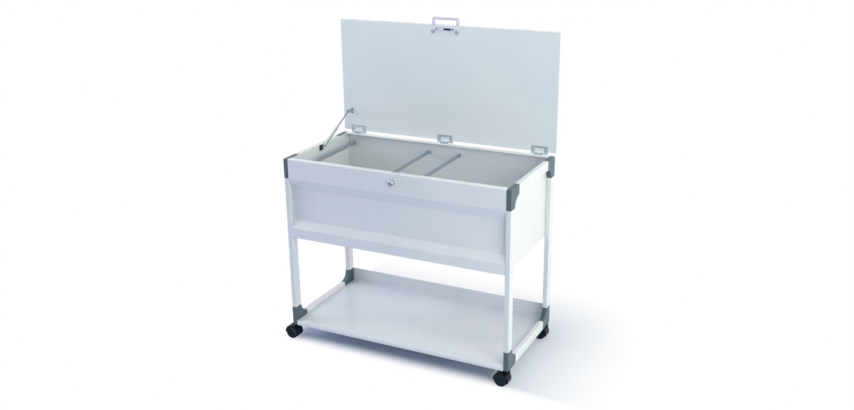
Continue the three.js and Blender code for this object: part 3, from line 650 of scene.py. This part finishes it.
for place in ("left", "middle", "right"):
    lowPin, highPin = boxOf(f"hinge_{place}_pin")
    x = (lowPin[0] + highPin[0]) / 2
    half, window = hinge["width"] / 2, hinge["window"] / 2
    front, windowFront = lidRear - hinge["leafDepth"], lidRear - hinge["windowDepth"]
    end = axisY - 2.6  # where the plate meets its rolled eye
    outline = [[x - half, front], [x + half, front], [x + half, end], [x + window, end], [x + window, windowFront],
               [x + window / 2, windowFront], [x, windowFront + hinge["dip"]], [x - window / 2, windowFront],
               [x - window, windowFront], [x - window, end], [x - half, end]]
    screwsAt = [[x + sign * (half + window) / 2, lidRear - 11, plateFace] for sign in (-1, 1)]
    holes = [moved(screwHole(at, down, hinge["screwRadius"] + 0.15), openLid) for at in screwsAt]
    leaf = [leafPlate(outline, plateFace), knuckle(x - half, x - window), knuckle(x + window, x + half)]
    piece(f"hinge_{place}_frame_leaf", [moved(part, openLid) for part in leaf], [zincPlate], "lid",
          [f"hinge_{place}_lid_leaf"], "zinc_steel", holes)
    heads = [screwHead([*at[:2], plateFace + 0.1], down, hinge["screwRadius"], 0.2, 1.1, 0.7) for at in screwsAt]
    piece(f"hinge_{place}_screws", [moved(part, openLid) for part in heads], [zincPlate], "lid", slot="zinc_steel")

    tab = window - hinge["tabGap"]
    front = cartDepth - hinge["tabDepth"]
    outline = [[x - tab, front], [x - tab / 2, front], [x, front - hinge["tabPoint"]], [x + tab / 2, front],
               [x + tab, front], [x + tab, end], [x - tab, end]]
    leaf = [leafPlate(outline, rimHeight + fit), knuckle(x - window + fit, x + window - fit)]
    piece(f"hinge_{place}_tab_leaf", leaf, [zincPlate], "frame", [f"hinge_{place}_rim_leaf"], "zinc_steel")

    reach, head = half + fit, hinge["knuckle"] - fit
    rivet = [[0, -reach - hinge["head"]], [head * 0.6, -reach - hinge["head"] * 0.9], [head, -reach - 0.3],
             [head, -reach], [hinge["pin"], -reach]]
    mirrored = [[r, -h] for r, h in rivet[::-1]]
    piece(f"hinge_{place}_rivet", [turned(rivet + mirrored, [x, axisY, axisZ], [1, 0, 0], 28)], [zincPlate],
          "frame", [f"hinge_{place}_pin"], "zinc_steel")
print("hinges done")


# Lock, with its axis along the depth

cylinderLock = {"head": 11, "headLength": 9, "chamfer": 3.6, "barrel": 9, "plug": 6, "proud": 1, "keyWidth": 1.6,
                "keyHeight": 7, "keyDepth": 5, "cam": 10.5, "camThickness": 3, "camWidth": 8, "hub": 8, "camReach": 42}
k = cylinderLock
bore, front, back = k["plug"] + fit, -k["headLength"] - fit, k["cam"] - 2 * fit
barrelShape = rounded([[bore, front + 0.6], [bore + 0.6, front], [k["head"] - k["chamfer"], front],
                       [k["head"], front + k["chamfer"]], [k["head"], -fit], [k["barrel"], -fit], [k["barrel"], back],
                       [bore, back]], 0.25, 3, 0.05)
lockCentre = [0, 0, lockZ]
piece("lock_barrel_casting", [turned(barrelShape, lockCentre, [0, 1, 0], 48, closed=True)], [nickel], "frame",
      ["lock_barrel"], "lock_chrome")

front, shoulder, camBack = front - k["proud"], k["cam"] - fit, k["cam"] + k["camThickness"] + fit
plugShape = rounded([[0, front], [k["plug"] - 0.5, front], [k["plug"], front + 0.5], [k["plug"], shoulder],
                     [3.5, shoulder], [3.5, camBack], [5.5, camBack], [5.5, camBack + 2.2], [0, camBack + 2.2]],
                    0.2, 2, 0.05, closed=False)
keyway = slab(rectangle([0, lockZ], [k["keyWidth"], k["keyHeight"]], 0.3), front - 2, front + k["keyDepth"],
              0.05, "y", 1, 0.05)
# The keyway's cut faces take the dark screw finish: painted shade in the slot.
piece("lock_plug_turning", [turned(plugShape, lockCentre, [0, 1, 0], 40)], [nickel], "lock", ["lock_plug"],
      "lock_chrome", [keyway], darkScrew)

half = k["camWidth"] / 2
meet = math.degrees(math.asin(half / k["hub"]))
camShape = np.vstack([arc([0, lockZ], k["hub"], meet, 360 - meet, 40),
                      arc([k["camReach"] - half, lockZ], half, -90, 90, 20)])
camHole = turned([[0, k["cam"] - 2], [3.8, k["cam"] - 2], [3.8, k["cam"] + 6], [0, k["cam"] + 6]], lockCentre, [0, 1, 0], 32)
piece("lock_cam_stamping", [slab(camShape, k["cam"], k["cam"] + k["camThickness"], 0.4, "y", 3, 0.1)], [zincPlate],
      "lock", ["lock_cam"], "zinc_steel", [camHole])
print("lock done")


# Gas strut: a cylinder on a stud on the left wall, and a rod that ends at a bracket on the lid

strut = {"radius": 5.5, "wall": 1, "neck": 2.5, "neckLength": 12, "base": 7, "guide": 6, "rod": 2.5, "collar": 3,
         "piston": 7, "play": 1.5, "eye": 5, "eyeThickness": 6, "stud": 2.5, "studHead": 4, "headLength": 1.8, "plate": 2.5,
         "plateWidth": 20, "plateHeight": 22, "lidReach": 84, "lidDrop": 19, "bracket": 2, "foot": 9,
         "footLength": 24, "cheek": 9, "footScrew": (5.6, 8.4)}
g = strut
wallPivot = jointAt("strut_swing")
strutAxis = np.array(joints["strut_slide"]["axis"], float)
lidPivot = np.array([wallPivot[0], axisY - g["lidReach"], lidUnder - g["lidDrop"]])
lidPivotOpen = openLid(lidPivot)
strutLength = np.linalg.norm(lidPivotOpen - wallPivot)
travel = strutLength - np.linalg.norm(lidPivot - wallPivot)
cavityStart = g["neckLength"] + g["base"]
pistonEnd = cavityStart + g["play"] + travel
cavityEnd = pistonEnd + g["piston"] + g["play"]


def eyeRing(along, outer, bore):
    # a ring about the cross axis, its section a rectangle with rounded corners
    t = g["eyeThickness"] / 2
    section = rounded([[bore, -t], [outer, -t], [outer, t], [bore, t]], 0.5, 3, 0.1)
    return turned(section, wallPivot + along * strutAxis, [1, 0, 0], 36, closed=True)


mouth = cavityEnd + g["guide"]
tubeShape = rounded([[0, g["eye"] - 1], [g["neck"], g["eye"] - 1], [g["neck"], g["neckLength"]],
                     [g["radius"], g["neckLength"]], [g["radius"], mouth - 4.2], [g["radius"] - 0.7, mouth - 3.6],
                     [g["radius"], mouth - 3], [g["radius"], mouth], [g["rod"] + fit, mouth],
                     [g["rod"] + fit, cavityEnd], [g["radius"] - g["wall"], cavityEnd],
                     [g["radius"] - g["wall"], cavityStart], [0, cavityStart]], 0.25, 3, 0.02, closed=False)
lowerEye = inSlot(eyeRing(0, g["eye"], g["stud"] + fit), 1)
piece("strut_tube", [turned(tubeShape, wallPivot, strutAxis, 40), lowerEye], [drawnTube, blackPaint],
      "strut_barrel", ["strut_cylinder"], "strut_grey")
inside = g["radius"] - g["wall"] - fit
rodEnd = strutLength - g["eye"] + 1
rodShape = rounded([[0, pistonEnd], [inside, pistonEnd], [inside, pistonEnd + g["piston"]],
                    [g["rod"], pistonEnd + g["piston"]], [g["rod"], rodEnd - 5], [g["collar"], rodEnd - 4.2],
                    [g["collar"], rodEnd], [0, rodEnd]], 0.25, 3, 0.05, closed=False)
upperEye = inSlot(eyeRing(strutLength, g["eye"], g["stud"]), 1)
piece("strut_piston_rod", [turned(rodShape, wallPivot, strutAxis, 28), upperEye], [groundRod, blackPaint],
      "strut_piston", ["strut_rod"], "polished_rod")

low, high = boxOf("strut_wall_bracket")
wallPlate = slab(rectangle(wallPivot[1:], [g["plateWidth"], g["plateHeight"]], 3), low[0], low[0] + g["plate"], 0.5, "x", 3, 0.1)
eyeSide = wallPivot[0] + g["eyeThickness"] / 2 + fit
stud = rounded([[0, low[0] + 1], [g["stud"], low[0] + 1], [g["stud"], eyeSide], [g["studHead"], eyeSide],
                [g["studHead"], eyeSide + g["headLength"]], [0, eyeSide + g["headLength"]]], 0.4, 3, 0.05, closed=False)
wallScrews = [screwHead([low[0] + g["plate"] - 0.1, wallPivot[1], wallPivot[2] + dz], [1, 0, 0], 2.4, 0.7, 1, 0.5)
              for dz in (-8, 8)]
pivotStud = inSlot(turned(stud, [0, *wallPivot[1:]], [1, 0, 0], 28), 1)
piece("strut_wall_plate", [wallPlate, pivotStud], [blackPaint, brightZinc], "frame", ["strut_wall_bracket"],
      "dark_metal")
piece("strut_wall_screws", wallScrews, [darkScrew], "frame", slot="dark_metal")

cheekX = eyeSide
y, z = lidPivot[1:]
cheek = np.vstack([[[y - g["cheek"], lidSeat]], arc([y, z], g["eye"], 180, 360, 20), [[y + g["cheek"], lidSeat]]])
footShape = rectangle([cheekX + g["foot"] / 2, y], [g["foot"], g["footLength"]], 2.5)
bracket = [slab(cheek, cheekX, cheekX + g["bracket"], 0.4, "x", 3, 0.1),
           slab(footShape, lidSeat - g["bracket"], lidSeat, 0.4, "z", 3, 0.1)]
piece("strut_lid_plate", [moved(part, openLid) for part in bracket], [zincPlate], "lid", ["strut_lid_bracket"], "zinc_steel")
screwIn, screwOut = g["footScrew"]
lidScrews = [screwHead([cheekX + screwIn, y + sign * screwOut, lidSeat - g["bracket"] + 0.1], down, 2.4, 0.9, 1, 0.6)
             for sign in (-1, 1)]
piece("strut_lid_screws", [moved(part, openLid) for part in lidScrews], [darkScrew], "lid", slot="dark_metal")
print("strut done")


# Castors, drawn about their swivels: two wheels under one hood

castor = {"wheel": 25, "width": 16, "edge": 2.5, "trail": 19, "clearance": 1.3, "wall": 2.5, "lip": 1.5, "lipReach": 3,
          "web": 5, "sideGap": 0.4, "neck": 11, "stem": 5, "stemLength": 32, "axle": 4, "boss": 9, "front": -20,
          "rear": 180, "shoulder": 4.4, "rim": 4, "step": 1.2, "hollow": 4.2, "cap": 6.6}
c = castor
frameBottom = boxOf("shelf")[0][2]
wheelStart = c["web"] / 2 + c["sideGap"]
wheelEnd = wheelStart + c["width"]
hoodRadius = c["wheel"] + c["clearance"] + c["wall"]


def hoodShell(centre):
    # A C-shaped section (radius, across) carried round the wheel axle from the front to the rear end
    edge = wheelEnd + c["sideGap"]
    lip, outer = c["wheel"] - c["lipReach"], edge + c["lip"]
    cavity = c["wheel"] + c["clearance"]
    skin = rounded([[lip, -outer], [hoodRadius, -outer], [hoodRadius, outer], [lip, outer]], c["shoulder"], 7, 0.3, closed=False)
    lining = rounded([[lip, edge], [cavity, edge], [cavity, -edge], [lip, -edge]], 2.0, 5, 0.2, closed=False)
    section = np.vstack([skin, lining])
    angle = np.radians(np.linspace(c["front"], c["rear"], 41))[:, None]
    rings = np.stack([section[:, 0] * np.cos(angle), np.broadcast_to(section[:, 1], (41, len(section))),
                      section[:, 0] * np.sin(angle)], -1)
    return shell(rings + centre)


def hoodWeb(centre):
    # the plate between the wheels: the same sector, closed round the axle's boss
    sector = np.vstack([arc([0, 0], hoodRadius - 1, c["front"], c["rear"], 40), arc([0, 0], c["boss"], 180, 340, 20)])
    return slab(sector + [centre[0], centre[2]], centre[1] - c["web"] / 2, centre[1] + c["web"] / 2, 0.5, "y", 2, 0.1)


def wheelShape(sign):
    # tread with rounded shoulders, and a face hollowed inside the rim: depth*(1 - (r/R)^2) below its edge
    r, e = c["wheel"], wheelEnd
    share = np.linspace(1, 0, 16)[:, None]
    face = np.hstack([share * (r - c["rim"]), e - c["step"] - c["hollow"] * (1 - share ** 2)])
    tread = rounded([[c["axle"] + fit, wheelStart], [r, wheelStart], [r, e - 0.4], [r - c["rim"] + 0.6, e - 0.4],
                     [r - c["rim"], e - c["step"]]], [c["edge"], c["edge"], 0.5], 6, 0.1, closed=False)
    bore = [[0, e - c["cap"]], [c["axle"] + fit, e - c["cap"]]]
    profile = np.vstack([tread, face[1:], bore])
    return profile * [1, sign]


for side in ("left", "right"):
    for row in ("front", "rear"):
        name = f"castor_{row}_{side}"
        pivot = jointAt(f"{name}_swivel")
        axle = np.array([pivot[0] - c["trail"], pivot[1], c["wheel"]])
        neckTop = frameBottom - fit
        neckShape = rounded([[0, c["wheel"] + 24], [c["neck"], c["wheel"] + 24], [c["neck"], neckTop - 1.5], [c["neck"] - 1.5, neckTop],
                             [c["stem"], neckTop], [c["stem"], frameBottom + c["stemLength"]],
                             [0, frameBottom + c["stemLength"]]], 0.5, 4, 0.05, closed=False)
        axleEnd = wheelEnd - c["cap"] - fit
        axleShape = [[0, -axleEnd], [c["axle"], -axleEnd], [c["axle"], axleEnd], [0, axleEnd]]
        hood = [hoodShell(axle), hoodWeb(axle), turned(neckShape, [*pivot[:2], 0], [0, 0, 1], 40),
                turned(axleShape, axle, [0, 1, 0], 28)]
        piece(f"{name}_cover", hood, [blackNylon], name, [f"{name}_hood"], "castor_plastic")
        for place, sign in (("near", -1), ("far", 1)):
            piece(f"{name}_tyre_{place}", [turned(wheelShape(sign), axle, [0, 1, 0], 64, closed=True)], [wheelNylon],
                  f"{name}_wheel_{place}", [f"{name}_wheel_{place}"], "wheel_plastic")
print("castors done")


# Floor, light and camera

studio = {"floor": "#bcc9dc", "ambient": "#e7edff", "ambientLevel": 0.4, "shadowLow": (-0.412, -0.163),
          "shadowHigh": (0.37, 0.21), "fadeFront": 0.09, "fadeSide": 0.42, "sideCurve": 0.6}


def studioFloor():
    # a round floor, as rings about the cart
    angle = np.linspace(0, 2 * np.pi, 64, endpoint=False)
    rings = np.linspace(0, 12, 25)[:, None, None] * np.stack([np.cos(angle), np.sin(angle), 0 * angle], -1)
    points, quads = shell(rings)[:2]
    mesh = bpy.data.meshes.new("studio_floor")
    mesh.from_pydata(points, [], quads.tolist())
    floor = bpy.data.objects.new("studio_floor", mesh)
    bpy.context.scene.collection.objects.link(floor)
    mesh.materials.append(floorPaint())


def seenDirectly(tree):
    # 1 for rays that show the background: from the camera, off a gloss or through glass
    path = node(tree, "ShaderNodeLightPath", {}).outputs
    seen = node(tree, "ShaderNodeMath", {0: path["Is Camera Ray"], 1: path["Is Glossy Ray"]}, operation="ADD")
    seen = node(tree, "ShaderNodeMath", {0: seen.outputs[0], 1: path["Is Transmission Ray"]}, operation="ADD", use_clamp=True)
    return seen.outputs[0]


def floorPaint():
    # Matt pale paint that holds the shadow under the cart, and goes to plain white round it: the share of
    # white grows with the distance to the shadow's rectangle, softly at the front, slowly at the right.
    material, tree, shader, place = startMaterial("pale studio floor", Roughness=0.8, Base_Color=colour(studio["floor"]))
    low, high = (*studio["shadowLow"], 0), (*studio["shadowHigh"], 0)
    shares = []
    for first, second, fade, ramp in ((low, place, "fadeFront", "SMOOTHSTEP"), (place, high, "fadeSide", "LINEAR")):
        past = node(tree, "ShaderNodeVectorMath", {0: first, 1: second}, operation="SUBTRACT")
        past = node(tree, "ShaderNodeVectorMath", {0: past.outputs[0], 1: (0, 0, 0)}, operation="MAXIMUM")
        past = node(tree, "ShaderNodeVectorMath", {0: past.outputs[0]}, operation="LENGTH")
        shares.append(node(tree, "ShaderNodeMapRange", {"Value": past.outputs["Value"], "From Max": studio[fade]},
                           interpolation_type=ramp).outputs[0])
    beside = node(tree, "ShaderNodeMath", {0: shares[1], 1: studio["sideCurve"]}, operation="POWER")
    share = node(tree, "ShaderNodeMath", {0: shares[0], 1: beside.outputs[0]}, operation="MAXIMUM")
    share = node(tree, "ShaderNodeMath", {0: share.outputs[0], 1: seenDirectly(tree)}, operation="MULTIPLY")
    white = node(tree, "ShaderNodeEmission", {"Color": (1, 1, 1, 1), "Strength": 1.0})
    mix = node(tree, "ShaderNodeMixShader", {0: share.outputs[0], 1: shader.outputs[0], 2: white.outputs[0]})
    tree.links.new(mix.outputs[0], tree.nodes["Material Output"].inputs["Surface"])
    return material


studioFloor()

world = bpy.data.worlds.new("studio")
bpy.context.scene.world = world
world.use_nodes = True
tree = world.node_tree
soft = tree.nodes["Background"]
soft.inputs["Color"].default_value = colour(studio["ambient"])
soft.inputs["Strength"].default_value = studio["ambientLevel"]
white = node(tree, "ShaderNodeBackground", {"Color": (1, 1, 1, 1), "Strength": 1.0})
mix = node(tree, "ShaderNodeMixShader", {0: seenDirectly(tree), 1: soft.outputs[0], 2: white.outputs[0]})
tree.links.new(mix.outputs[0], tree.nodes["World Output"].inputs["Surface"])


def look(eye, target):
    # columns right, up and back of something at eye that faces target
    back = unit(np.array(eye, float) - target)
    right = unit(np.cross([0, 0, 1], back))
    return np.stack([right, np.cross(back, right), back], 1)


def softBox(name, eye, target, size, power, code):
    data = bpy.data.lights.new(name, "AREA")
    data.shape = "RECTANGLE"
    data.size, data.size_y = size
    data.energy = power
    data.color = colour(code)[:3]
    lamp = bpy.data.objects.new(name, data)
    bpy.context.scene.collection.objects.link(lamp)
    place = np.eye(4)
    place[:3, :3] = look(eye, target)
    place[:3, 3] = eye
    lamp.matrix_world = Matrix(place.tolist())


lamps = {"right": ([3.0, 0.5, 1.1], 1.8, 28.5, "#fffbc4"), "right front": ([2.6, -1.6, 1.4], 1.8, 44.3, "#edeff0"),
         "above": ([0, -0.6, 3.4], 2.2, 28, "#f2fedc"), "left": ([-2.8, -0.6, 1.6], 1.8, 55, "#dddcf4"),
         "behind": ([1.9, 2.0, 2.6], 1.8, 20, "#f5f5ff")}  # place, side in metres, watts, colour
for name, (eye, side, power, code) in lamps.items():
    softBox(name, eye, [0, 0, 0.5], [side, side], power, code)

view = {"azimuth": 26.383, "elevation": 19.149, "roll": -0.602, "distance": 3530.6,
        "target": [9.354, 71.849, 516.761], "focal": 938.296, "frame": 854}
a, e, r = (math.radians(view[key]) for key in ("azimuth", "elevation", "roll"))
back = np.array([math.sin(a) * math.cos(e), -math.cos(a) * math.cos(e), math.sin(e)])
eye = (np.array(view["target"]) + back * view["distance"]) / 1000
right, up, back = look(eye, np.array(view["target"]) / 1000).T
cameraData = bpy.data.cameras.new("photo view")
cameraData.sensor_fit = "HORIZONTAL"
cameraData.sensor_width = 36
cameraData.lens = view["focal"] / view["frame"] * 36
camera = bpy.data.objects.new("photo view", cameraData)
bpy.context.scene.collection.objects.link(camera)
place = np.eye(4)
place[:3, :3] = np.stack([right * math.cos(r) + up * math.sin(r), up * math.cos(r) - right * math.sin(r), back], 1)
place[:3, 3] = eye
camera.matrix_world = Matrix(place.tolist())
bpy.context.scene.camera = camera
print("studio ready")
